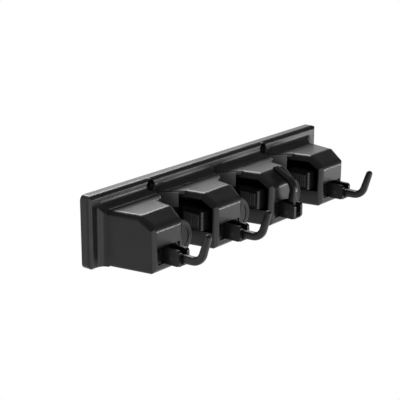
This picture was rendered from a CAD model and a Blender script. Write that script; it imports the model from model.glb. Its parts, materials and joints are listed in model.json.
"""Looks of the wall mop holder rack: black moulded plastic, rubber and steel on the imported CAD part.

Lengths are in metres in the part's own frame: x along the rack, y towards the wall and z up.
"""
import json
import math

import bpy
from mathutils import Matrix, Vector


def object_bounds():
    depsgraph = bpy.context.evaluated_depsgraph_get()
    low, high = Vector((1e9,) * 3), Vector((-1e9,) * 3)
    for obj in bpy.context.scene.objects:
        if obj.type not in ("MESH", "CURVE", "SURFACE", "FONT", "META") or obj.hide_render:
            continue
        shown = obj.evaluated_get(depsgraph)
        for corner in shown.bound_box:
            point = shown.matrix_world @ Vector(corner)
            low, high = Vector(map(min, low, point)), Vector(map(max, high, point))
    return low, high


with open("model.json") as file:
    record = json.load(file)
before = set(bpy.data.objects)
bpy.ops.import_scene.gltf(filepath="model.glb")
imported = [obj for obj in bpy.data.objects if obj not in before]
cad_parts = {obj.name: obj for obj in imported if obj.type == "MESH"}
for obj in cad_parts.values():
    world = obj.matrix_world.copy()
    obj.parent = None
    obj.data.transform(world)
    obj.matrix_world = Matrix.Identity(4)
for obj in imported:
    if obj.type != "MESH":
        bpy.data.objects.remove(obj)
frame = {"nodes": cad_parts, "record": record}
cad_low, cad_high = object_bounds()
scene = bpy.context.scene

MM = 0.001
WHITE = (1, 1, 1, 1)


# Nodes of materials and of the world

class Nodes:
    """Short ways to add nodes to a tree of shader nodes."""

    def __init__(self, tree):
        self.tree = tree

    def add(self, kind, **values):
        node = self.tree.nodes.new(kind)
        for key, value in values.items():
            setattr(node, key, value)
        return node

    def link(self, out, into):
        self.tree.links.new(out, into)

    def math(self, operation, first, second):
        node = self.add("ShaderNodeMath", operation=operation)
        self.link(first, node.inputs[0])
        self.link(second, node.inputs[1])
        return node.outputs["Value"]

    def map_range(self, value, start, end, low, high, kind="LINEAR"):
        """Maps a value between start and end to the range low to high."""
        node = self.add("ShaderNodeMapRange", interpolation_type=kind)
        for name, number in (("From Min", start), ("From Max", end), ("To Min", low), ("To Max", high)):
            node.inputs[name].default_value = number
        self.link(value, node.inputs["Value"])
        return node.outputs["Result"]

    def background_rays(self):
        """1 for rays that see the background: from the camera, off a gloss or through glass."""
        path = self.add("ShaderNodeLightPath")
        total = path.outputs["Is Camera Ray"]
        for name in ("Is Glossy Ray", "Is Transmission Ray"):
            total = self.math("MAXIMUM", total, path.outputs[name])
        return total

    def show_mix(self, share, first, second, output):
        """Mixes that share of the second shader into the first and sends it to the output."""
        mix = self.add("ShaderNodeMixShader")
        self.link(share, mix.inputs["Fac"])
        self.link(first, mix.inputs[1])
        self.link(second, mix.inputs[2])
        self.link(mix.outputs["Shader"], self.tree.nodes[output].inputs["Surface"])


class Shader(Nodes):
    """A material with one Principled shader, and ways to vary its looks by a noise."""

    # The values of a noise between these two cover a look's whole range
    NOISE_LOW = 0.3
    NOISE_HIGH = 0.7

    def __init__(self, name):
        self.material = bpy.data.materials.new(name)
        self.material.use_nodes = True
        super().__init__(self.material.node_tree)
        self.bsdf = self.tree.nodes["Principled BSDF"]
        self.place = self.add("ShaderNodeTexCoord").outputs["Object"]

    def set(self, name, value):
        self.bsdf.inputs[name].default_value = value

    def noise(self, size, detail, stretch=(1, 1, 1)):
        """Noise with features of about that size."""
        mapping = self.add("ShaderNodeMapping")
        mapping.inputs["Scale"].default_value = stretch
        self.link(self.place, mapping.inputs["Vector"])
        noise = self.add("ShaderNodeTexNoise")
        noise.inputs["Scale"].default_value = 1.0 / size
        noise.inputs["Detail"].default_value = detail
        self.link(mapping.outputs["Vector"], noise.inputs["Vector"])
        return noise.outputs["Fac"]

    def colours(self, noise, low, high):
        """Colours the surface from low to high by a noise."""
        ramp = self.add("ShaderNodeValToRGB")
        stops = zip(ramp.color_ramp.elements, (self.NOISE_LOW, self.NOISE_HIGH), (low, high))
        for stop, at, colour in stops:
            stop.position = at
            stop.color = (*colour, 1)
        self.link(noise, ramp.inputs["Fac"])
        self.link(ramp.outputs["Color"], self.bsdf.inputs["Base Color"])

    def roughness(self, noise, low, high):
        """Makes the surface smoother and rougher by a noise."""
        rough = self.map_range(noise, self.NOISE_LOW, self.NOISE_HIGH, low, high)
        self.link(rough, self.bsdf.inputs["Roughness"])

    def bump(self, noise, height):
        """Gives the surface a relief of that height by a noise."""
        node = self.add("ShaderNodeBump")
        node.inputs["Distance"].default_value = height
        self.link(noise, node.inputs["Height"])
        self.link(node.outputs["Normal"], self.bsdf.inputs["Normal"])


# Materials of the rack

CLOUD_SIZE = 18 * MM
SHEEN_SIZE = 7 * MM
GRAIN_SIZE = 0.4 * MM
PLASTIC_GLOSS = 0.36


def grey(value, warm=0.0):
    """A grey, with its red raised and its blue lowered by the share warm."""
    return (value * (1 + warm), value, value * (1 - warm))


def plastic(name, tone, rough, relief, grain=GRAIN_SIZE, gloss=PLASTIC_GLOSS):
    """Moulded plastic: cloudy tone and roughness, each from low to high, and a fine grain of that relief."""
    s = Shader(name)
    s.colours(s.noise(CLOUD_SIZE, detail=4), grey(tone[0]), grey(tone[1]))
    s.roughness(s.noise(SHEEN_SIZE, detail=5), *rough)
    s.bump(s.noise(grain, detail=2), relief)
    s.set("Specular IOR Level", gloss)
    return s.material


def rubber(name):
    """Dull black rubber, lighter and a little warmer where dust sits on it."""
    clean = grey(0.012)
    dusty = grey(0.026, warm=0.02)
    s = Shader(name)
    s.colours(s.noise(3 * MM, detail=5), clean, dusty)
    s.roughness(s.noise(1.2 * MM, detail=4), 0.55, 0.8)
    s.bump(s.noise(0.5 * MM, detail=3), height=0.06 * MM)
    return s.material


def steel(name):
    """Zinc-plated steel with streaks along the rack."""
    dull = grey(0.42, warm=0.01)
    bright = grey(0.6, warm=0.01)
    s = Shader(name)
    s.colours(s.noise(1.5 * MM, detail=4, stretch=(0.2, 1, 1)), dull, bright)
    s.set("Metallic", 1.0)
    s.roughness(s.noise(0.8 * MM, detail=3), 0.28, 0.45)
    s.bump(s.noise(0.3 * MM, detail=2), height=0.01 * MM)
    return s.material


PLASTICS = {
    "housing": dict(tone=(0.008, 0.012), rough=(0.28, 0.33), relief=0.002 * MM, gloss=0.32),
    "back": dict(tone=(0.014, 0.02), rough=(0.5, 0.6), relief=0.02 * MM, grain=0.5 * MM),
    "bracket": dict(tone=(0.003, 0.005), rough=(0.34, 0.42), relief=0.004 * MM, gloss=0.26),
    "hook": dict(tone=(0.005, 0.007), rough=(0.3, 0.36), relief=0.002 * MM),
    "cam": dict(tone=(0.006, 0.009), rough=(0.42, 0.5), relief=0.01 * MM, grain=0.5 * MM, gloss=0.22),
    "carrier": dict(tone=(0.005, 0.008), rough=(0.26, 0.32), relief=0.003 * MM),
    "rest": dict(tone=(0.024, 0.03), rough=(0.3, 0.36), relief=0.002 * MM, gloss=0.5),
}
# The black coat on the hook pins is given the look of a plastic
BLACK_COAT = dict(tone=(0.006, 0.009), rough=(0.3, 0.4), relief=0.003 * MM, grain=0.3 * MM)

looks = {slot: plastic(slot + "_plastic", **values) for slot, values in PLASTICS.items()}
looks["rubber"] = rubber("black_rubber")
looks["steel"] = steel("zinc_steel")
looks["black_steel"] = plastic("black_steel", **BLACK_COAT)

for row in frame["record"]["subparts"]:
    mesh = frame["nodes"][row["node"]].data
    mesh.materials.clear()
    mesh.materials.append(looks[row["material_slot"]])


# Room and floor

# The room lights dull surfaces evenly. What glossy ones show of it fades from white to dim across DIM_EDGE,
# measured along DIM_SIDE, up and to the front.
ROOM_LIGHT = 0.5
DIM_SIDE = (0.0, -0.6, 0.8)
DIM_EDGE = (-0.05, 0.22)
DIM_STRENGTH = 0.12

# Plain white is the share FLOOR_GLOW of the floor's look below the rack, and all of it beyond FLOOR_FADE
FLOOR_REACH = 8.0
FLOOR_DROP = 0.7
FLOOR_FADE = (0.3, 1.0)
FLOOR_GLOW = 0.6
FLOOR_COLOUR = (0.9, 0.9, 0.9, 1)
FLOOR_ROUGHNESS = 0.9
FLOOR_GLOSS = 0.1


def studio_world():
    """A room, white behind the rack and dim above and in front of it, that lights less than it shows."""
    world = bpy.data.worlds.new("studio")
    world.use_nodes = True
    room = Nodes(world.node_tree)
    tilt = room.add("ShaderNodeVectorMath", operation="DOT_PRODUCT")
    tilt.inputs[1].default_value = DIM_SIDE
    room.link(room.add("ShaderNodeTexCoord").outputs["Generated"], tilt.inputs[0])
    dimmed = room.map_range(tilt.outputs["Value"], *DIM_EDGE, 1.0, DIM_STRENGTH, "SMOOTHSTEP")
    camera_ray = room.add("ShaderNodeLightPath").outputs["Is Camera Ray"]
    shown = room.tree.nodes["Background"]
    shown.inputs["Color"].default_value = WHITE
    room.link(room.math("MAXIMUM", dimmed, camera_ray), shown.inputs["Strength"])
    lit = room.add("ShaderNodeBackground")
    lit.inputs["Color"].default_value = WHITE
    lit.inputs["Strength"].default_value = ROOM_LIGHT
    rays = room.background_rays()
    room.show_mix(rays, lit.outputs["Background"], shown.outputs["Background"], "World Output")
    return world


def floor():
    """A pale floor below the rack that keeps its shadow and turns plain white further out."""
    mesh = bpy.data.meshes.new("floor")
    r = FLOOR_REACH
    mesh.from_pydata([(-r, -r, 0), (r, -r, 0), (r, r, 0), (-r, r, 0)], [], [(0, 1, 2, 3)])
    plate = bpy.data.objects.new("floor", mesh)
    plate.location.z = cad_low[2] - FLOOR_DROP
    scene.collection.objects.link(plate)
    paint = Shader("pale_floor")
    paint.set("Base Color", FLOOR_COLOUR)
    paint.set("Roughness", FLOOR_ROUGHNESS)
    paint.set("Specular IOR Level", FLOOR_GLOSS)
    glow = paint.add("ShaderNodeEmission")
    distance = paint.add("ShaderNodeVectorMath", operation="LENGTH")
    paint.link(paint.place, distance.inputs[0])
    white = paint.map_range(distance.outputs["Value"], *FLOOR_FADE, FLOOR_GLOW, 1.0, "SMOOTHSTEP")
    share = paint.math("MULTIPLY", paint.background_rays(), white)
    paint.show_mix(share, paint.bsdf.outputs["BSDF"], glow.outputs["Emission"], "Material Output")
    mesh.materials.append(paint.material)


scene.view_settings.view_transform = "Standard"
scene.world = studio_world()
floor()


# Lamps

LAMP_AIM = Vector((0.008, -0.04, -0.03))


def lamp(name, size, place, strength, glossy=True):
    """A soft light on the rack, hidden from the camera; the strength sets its power per area."""
    light = bpy.data.lights.new(name, "AREA")
    light.shape = "RECTANGLE"
    light.size, light.size_y = size
    light.energy = strength * math.pi * size[0] * size[1]
    holder = bpy.data.objects.new(name, light)
    holder.location = place
    holder.rotation_euler = (LAMP_AIM - Vector(place)).to_track_quat("-Z", "Y").to_euler()
    holder.visible_camera = False
    holder.visible_glossy = glossy
    scene.collection.objects.link(holder)


# Seen from the camera, the lamp behind the rack shines off the tops of the blocks and the flange, the strip
# off their fronts and the two low softboxes off the upright edges on the left. The one above isn't mirrored.
lamp("top_softbox", size=(1.4, 1.0), place=(-0.1, -0.3, 1.1), strength=1.2, glossy=False)
lamp("back_softbox", size=(0.9, 0.5), place=(0.66, 0.78, 0.86), strength=10.0)
lamp("front_strip", size=(0.8, 0.14), place=(0.85, -0.95, -0.18), strength=19.0)
lamp("front_softbox", size=(0.7, 0.5), place=(0.15, -1.22, -0.4), strength=1.8)
lamp("near_softbox", size=(0.9, 0.5), place=(-0.71, -0.93, -0.35), strength=1.3)


# Camera: the photo's place and lens, fitted to the corners of the rack's blocks

CAMERA_PLACE = Vector((-826.4, -682.2, 297.4)) * MM
CAMERA_AZIMUTH = math.radians(50.394)
CAMERA_ELEVATION = math.radians(17.3)
CAMERA_ROLL = math.radians(0.09)
LENS_MM = 103.6
SENSOR_MM = 36

backward = Vector((
    -math.sin(CAMERA_AZIMUTH) * math.cos(CAMERA_ELEVATION),
    -math.cos(CAMERA_AZIMUTH) * math.cos(CAMERA_ELEVATION),
    math.sin(CAMERA_ELEVATION),
))
turn = backward.to_track_quat("Z", "Y").to_matrix().to_4x4()
camera = bpy.data.objects.new("camera", bpy.data.cameras.new("camera"))
camera.data.lens = LENS_MM
camera.data.sensor_width = SENSOR_MM
camera.matrix_world = Matrix.Translation(CAMERA_PLACE) @ (turn @ Matrix.Rotation(CAMERA_ROLL, 4, "Z"))
scene.collection.objects.link(camera)
scene.camera = camera
